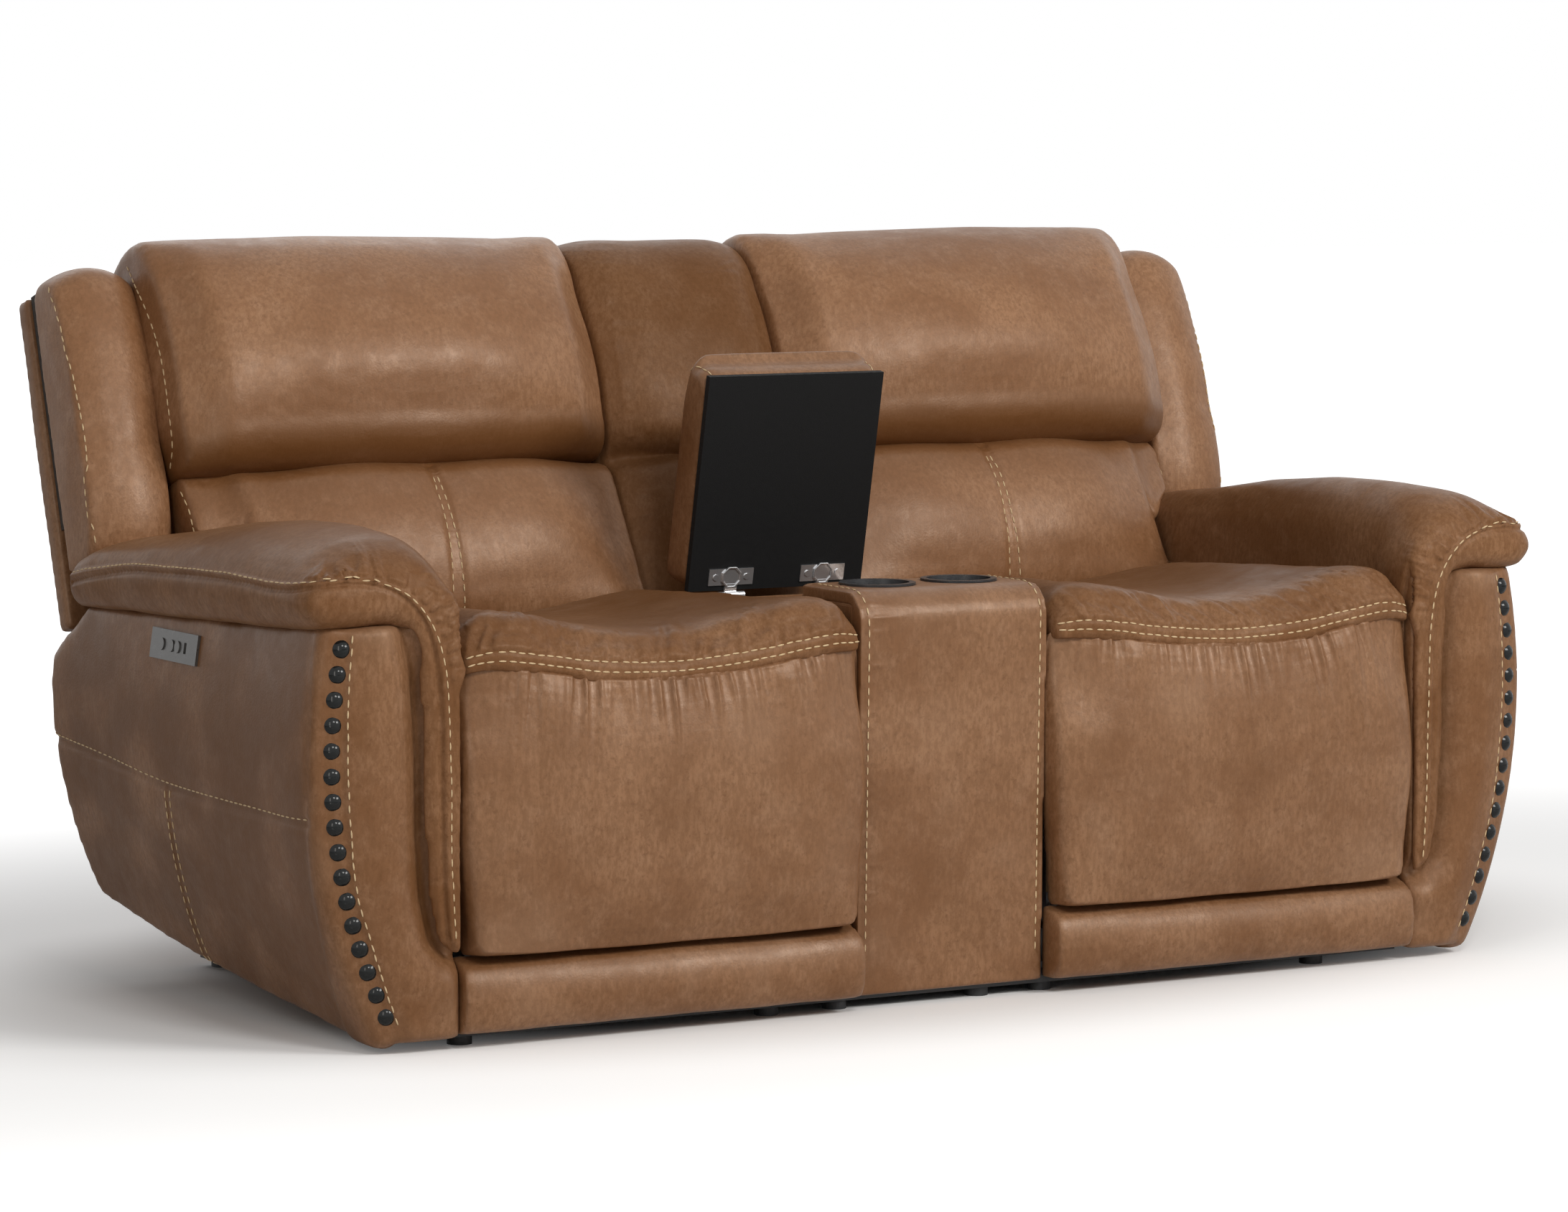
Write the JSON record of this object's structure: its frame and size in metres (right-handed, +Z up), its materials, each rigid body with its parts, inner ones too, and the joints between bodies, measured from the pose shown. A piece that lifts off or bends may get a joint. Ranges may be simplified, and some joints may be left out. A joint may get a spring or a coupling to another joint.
{
  "type": "power reclining console loveseat",
  "caption": "Leather power reclining loveseat with padded arms, winged backs, swing-out leg rests and a storage console with cup holders and a hinged lid.",
  "frame": {"origin": "on the floor, under the middle of the overall box", "axes": "+X along the width, to the right as seen from the front; +Y to the rear; +Z up"},
  "size_m": [1.9544, 1.0533, 1.0219],
  "materials": {
    "leather": "satin",
    "timber": "matte",
    "steel": "satin",
    "black_plastic": "satin",
    "foot_rubber": "matte",
    "gunmetal": "satin",
    "nail_metal": "satin",
    "hinge_chrome": "polished",
    "button_black": "gloss"
  },
  "bodies": {
    "base": {"feet": "foot_rubber", "base_frame": "steel", "rear_skirts": "leather", "toe_rails": "leather", "right_side_plates": "steel", "right_seat_frame": "steel", "right_seat_cushion": "leather", "right_actuator": "black_plastic", "right_arm_shell": "leather", "right_arm_front": "leather", "right_arm_pad": "leather", "left_side_plates": "steel", "left_seat_frame": "steel", "left_seat_cushion": "leather", "left_actuator": "black_plastic", "left_arm_shell": "leather", "left_arm_front": "leather", "left_arm_pad": "leather", "arm_nails": "nail_metal", "switch_plates": "gunmetal", "console_box": "timber", "console_cover": "leather", "cup_holders": "black_plastic", "console_bin": "black_plastic", "console_back": "leather", "lid_hinge_brackets": "hinge_chrome"},
    "right_back": {"right_back_frame": "timber", "right_back_shell": "leather", "right_back_cushion": "leather", "right_head_cushion": "leather", "right_wing": "leather"},
    "right_lift": {"right_lift_arms": "steel"},
    "right_reach": {"right_reach_arms": "steel"},
    "right_guide": {"right_guide_links": "steel"},
    "right_tie": {"right_tie_links": "steel"},
    "right_legrest": {"right_leg_frame": "timber", "right_leg_pad": "leather"},
    "right_rod": {"right_actuator_rod": "steel"},
    "right_recline_button": {"right_recline_button": "button_black"},
    "right_return_button": {"right_return_button": "button_black"},
    "right_home_button": {"right_home_button": "button_black"},
    "left_back": {"left_back_frame": "timber", "left_back_shell": "leather", "left_back_cushion": "leather", "left_head_cushion": "leather", "left_wing": "leather"},
    "left_lift": {"left_lift_arms": "steel"},
    "left_reach": {"left_reach_arms": "steel"},
    "left_guide": {"left_guide_links": "steel"},
    "left_tie": {"left_tie_links": "steel"},
    "left_legrest": {"left_leg_frame": "timber", "left_leg_pad": "leather"},
    "left_rod": {"left_actuator_rod": "steel"},
    "left_recline_button": {"left_recline_button": "button_black"},
    "left_return_button": {"left_return_button": "button_black"},
    "left_home_button": {"left_home_button": "button_black"},
    "lid": {"lid_board": "black_plastic", "lid_pad": "leather", "lid_hinge_leaves": "hinge_chrome"}
  },
  "joints": [
    {"name": "right_recline", "type": "hinge", "parent": "base", "child": "right_back", "pos_m": [0.452, 0.24, 0.3], "axis": [-1, 0, 0], "range_deg": [0, 31.99]},
    {"name": "right_lift_turn", "type": "hinge", "parent": "base", "child": "right_lift", "pos_m": [0.452, -0.21, 0.27], "axis": [-1, 0, 0], "range_deg": [0, 24.5]},
    {"name": "right_reach_turn", "type": "hinge", "parent": "right_lift", "child": "right_reach", "pos_m": [0.452, -0.38, 0.13], "axis": [1, 0, 0], "range_deg": [0, 69.88]},
    {"name": "right_legrest_turn", "type": "hinge", "parent": "right_reach", "child": "right_legrest", "pos_m": [0.452, -0.435, 0.395], "axis": [-1, 0, 0], "range_deg": [0, 135.4]},
    {"name": "right_guide_turn", "type": "hinge", "parent": "base", "child": "right_guide", "pos_m": [0.452, -0.19006, 0.09885], "axis": [-1, 0, 0], "range_deg": [0, 38.36]},
    {"name": "right_tie_turn", "type": "hinge", "parent": "right_lift", "child": "right_tie", "pos_m": [0.452, -0.42632, 0.09186], "axis": [1, 0, 0], "range_deg": [0, 89.68]},
    {"name": "right_rod_slide", "type": "slide", "parent": "base", "child": "right_rod", "axis": [0, -1, 0], "range_m": [0, 0.04666]},
    {"name": "right_recline_press", "type": "slide", "parent": "base", "child": "right_recline_button", "axis": [-0.9892, 0, -0.1465], "range_m": [0, 0.0015], "stiffness_N_per_m": 800, "springref_m": -0.0008},
    {"name": "right_return_press", "type": "slide", "parent": "base", "child": "right_return_button", "axis": [-0.9892, 0, -0.1465], "range_m": [0, 0.0015], "stiffness_N_per_m": 800, "springref_m": -0.0008},
    {"name": "right_home_press", "type": "slide", "parent": "base", "child": "right_home_button", "axis": [-0.9892, 0, -0.1465], "range_m": [0, 0.0015], "stiffness_N_per_m": 800, "springref_m": -0.0008},
    {"name": "left_recline", "type": "hinge", "parent": "base", "child": "left_back", "pos_m": [-0.452, 0.24, 0.3], "axis": [-1, 0, 0], "range_deg": [0, 31.99]},
    {"name": "left_lift_turn", "type": "hinge", "parent": "base", "child": "left_lift", "pos_m": [-0.452, -0.21, 0.27], "axis": [-1, 0, 0], "range_deg": [0, 24.5]},
    {"name": "left_reach_turn", "type": "hinge", "parent": "left_lift", "child": "left_reach", "pos_m": [-0.452, -0.38, 0.13], "axis": [1, 0, 0], "range_deg": [0, 69.88]},
    {"name": "left_legrest_turn", "type": "hinge", "parent": "left_reach", "child": "left_legrest", "pos_m": [-0.452, -0.435, 0.395], "axis": [-1, 0, 0], "range_deg": [0, 135.4]},
    {"name": "left_guide_turn", "type": "hinge", "parent": "base", "child": "left_guide", "pos_m": [-0.452, -0.19006, 0.09885], "axis": [-1, 0, 0], "range_deg": [0, 38.36]},
    {"name": "left_tie_turn", "type": "hinge", "parent": "left_lift", "child": "left_tie", "pos_m": [-0.452, -0.42632, 0.09186], "axis": [1, 0, 0], "range_deg": [0, 89.68]},
    {"name": "left_rod_slide", "type": "slide", "parent": "base", "child": "left_rod", "axis": [0, -1, 0], "range_m": [0, 0.04666]},
    {"name": "left_recline_press", "type": "slide", "parent": "base", "child": "left_recline_button", "axis": [0.9892, 0, -0.1465], "range_m": [0, 0.0015], "stiffness_N_per_m": 800, "springref_m": -0.0008},
    {"name": "left_return_press", "type": "slide", "parent": "base", "child": "left_return_button", "axis": [0.9892, 0, -0.1465], "range_m": [0, 0.0015], "stiffness_N_per_m": 800, "springref_m": -0.0008},
    {"name": "left_home_press", "type": "slide", "parent": "base", "child": "left_home_button", "axis": [0.9892, 0, -0.1465], "range_m": [0, 0.0015], "stiffness_N_per_m": 800, "springref_m": -0.0008},
    {"name": "lid_hinge", "type": "hinge", "parent": "base", "child": "lid", "pos_m": [0, -0.002, 0.522], "axis": [1, 0, 0], "range_deg": [0, 78]}
  ],
  "couplings": [
    {"joint": "right_lift_turn", "follows": "right_recline", "ratio": 0.76504},
    {"joint": "right_reach_turn", "follows": "right_recline", "ratio": 2.1833},
    {"joint": "right_legrest_turn", "follows": "right_recline", "ratio": 4.2308},
    {"joint": "right_guide_turn", "follows": "right_recline", "ratio": 1.1982},
    {"joint": "right_tie_turn", "follows": "right_recline", "ratio": 2.8022},
    {"joint": "right_rod_slide", "follows": "right_recline", "m_per_rad": 0.083515},
    {"joint": "left_lift_turn", "follows": "left_recline", "ratio": 0.76504},
    {"joint": "left_reach_turn", "follows": "left_recline", "ratio": 2.1833},
    {"joint": "left_legrest_turn", "follows": "left_recline", "ratio": 4.2308},
    {"joint": "left_guide_turn", "follows": "left_recline", "ratio": 1.1982},
    {"joint": "left_tie_turn", "follows": "left_recline", "ratio": 2.8022},
    {"joint": "left_rod_slide", "follows": "left_recline", "m_per_rad": 0.083515}
  ]
}
